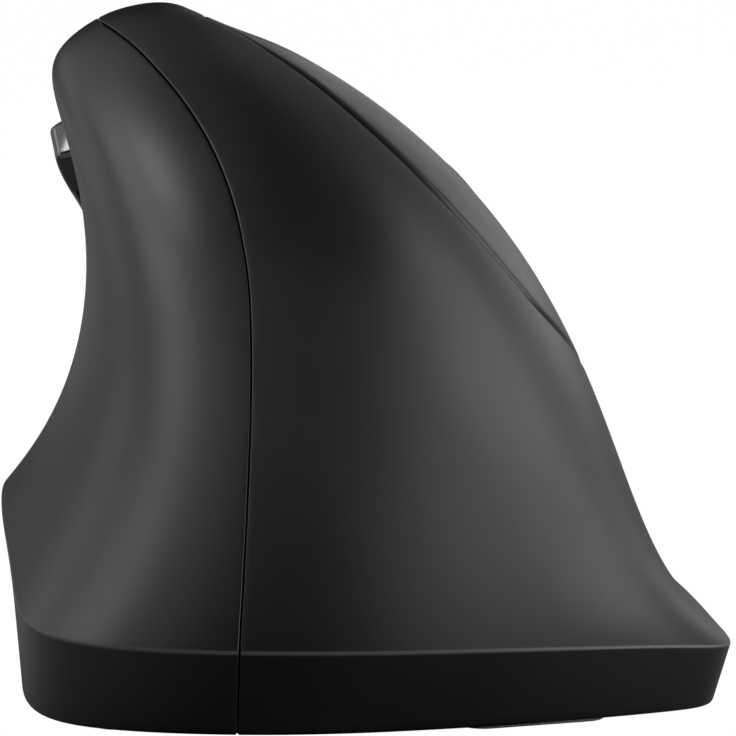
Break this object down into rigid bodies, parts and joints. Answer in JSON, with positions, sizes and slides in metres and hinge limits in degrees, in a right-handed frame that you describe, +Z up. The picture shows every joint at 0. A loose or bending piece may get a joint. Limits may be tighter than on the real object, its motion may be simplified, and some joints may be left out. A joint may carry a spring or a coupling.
{
  "type": "vertical ergonomic mouse",
  "caption": "Right-hand vertical mouse: leaning moulded housing with click buttons, scroll wheel, thumb buttons, optical sensor and battery door, resting on low glide feet.",
  "frame": {"origin": "on the desk under the middle of the housing", "axes": "+X to the finger side, +Y to the nose where the scroll wheel is, +Z up from the desk"},
  "size_m": [0.0698, 0.1204, 0.0634],
  "materials": {
    "shell_plastic": "fine matte grain",
    "button_plastic": "fine matte grain",
    "strip_plastic": "fine matte grain",
    "key_plastic": "gloss",
    "base_plastic": "matte",
    "frame_plastic": "matte",
    "circuit_board": "satin",
    "switch_plastic": "satin",
    "wheel_plastic": "satin",
    "wheel_rubber": "matte",
    "lens_clear": "clear",
    "led_red": "clear tint",
    "cell_can": "printed sleeve",
    "contact_steel": "plated",
    "slider_plastic": "matte",
    "foot_plastic": "waxy",
    "screw_steel": "zinc plated"
  },
  "bodies": {
    "chassis": {"base_plate": "base_plastic", "palm_shell": "shell_plastic", "thumb_panel": "shell_plastic", "centre_strip": "strip_plastic", "button_frame": "frame_plastic", "button_pcb": "circuit_board", "left_switch": "switch_plastic", "right_switch": "switch_plastic", "dpi_switch": "switch_plastic", "wheel_encoder": "switch_plastic", "middle_switch": "switch_plastic", "thumb_pcb": "circuit_board", "thumb_switches": "switch_plastic", "main_pcb": "circuit_board", "sensor_chip": "switch_plastic", "sensor_lens": "lens_clear", "sensor_led": "led_red", "left_cell": "cell_can", "right_cell": "cell_can", "battery_contacts": "contact_steel", "power_switch": "switch_plastic", "glide_feet": "foot_plastic", "case_screws": "screw_steel"},
    "left_click": {"left_button": "button_plastic"},
    "right_click": {"right_button": "button_plastic"},
    "cradle": {"wheel_cradle": "frame_plastic"},
    "wheel": {"wheel_hub": "wheel_plastic", "wheel_tyre": "wheel_rubber"},
    "dpi": {"dpi_button": "key_plastic"},
    "back": {"back_button": "key_plastic"},
    "forward": {"forward_button": "key_plastic"},
    "door": {"battery_door": "base_plastic"},
    "slider": {"power_slider": "slider_plastic"}
  },
  "joints": [
    {"name": "left_click_hinge", "type": "hinge", "parent": "chassis", "child": "left_click", "pos_m": [-0.00326, -0.01005, 0.04861], "axis": [-0.7071, 0, 0.7071], "range_deg": [0, 0.8], "stiffness_Nm_per_rad": 1.8},
    {"name": "right_click_hinge", "type": "hinge", "parent": "chassis", "child": "right_click", "pos_m": [0.01488, -0.01005, 0.03047], "axis": [-0.7071, 0, 0.7071], "range_deg": [0, 0.8], "stiffness_Nm_per_rad": 1.8},
    {"name": "wheel_press", "type": "slide", "parent": "chassis", "child": "cradle", "axis": [-0.7071, 0, -0.7071], "range_m": [0, 0.0005], "stiffness_N_per_m": 1500},
    {"name": "wheel_spin", "type": "hinge", "parent": "cradle", "child": "wheel", "pos_m": [0.00314, 0.02995, 0.03662], "axis": [0.7071, 0, -0.7071], "continuous": true},
    {"name": "dpi_press", "type": "slide", "parent": "chassis", "child": "dpi", "axis": [-0.7071, 0, -0.7071], "range_m": [0, 0.0004], "stiffness_N_per_m": 2000},
    {"name": "back_press", "type": "slide", "parent": "chassis", "child": "back", "axis": [0.9613, 0, 0.2756], "range_m": [0, 0.0005], "stiffness_N_per_m": 2000},
    {"name": "forward_press", "type": "slide", "parent": "chassis", "child": "forward", "axis": [0.9613, 0, 0.2756], "range_m": [0, 0.0005], "stiffness_N_per_m": 2000},
    {"name": "door_hinge", "type": "hinge", "parent": "chassis", "child": "door", "pos_m": [0.0115, -0.0432, 0.0019], "axis": [-1, 0, 0], "range_deg": [0, 75]},
    {"name": "power_slide", "type": "slide", "parent": "chassis", "child": "slider", "axis": [0, 1, 0], "range_m": [0, 0.003]}
  ]
}
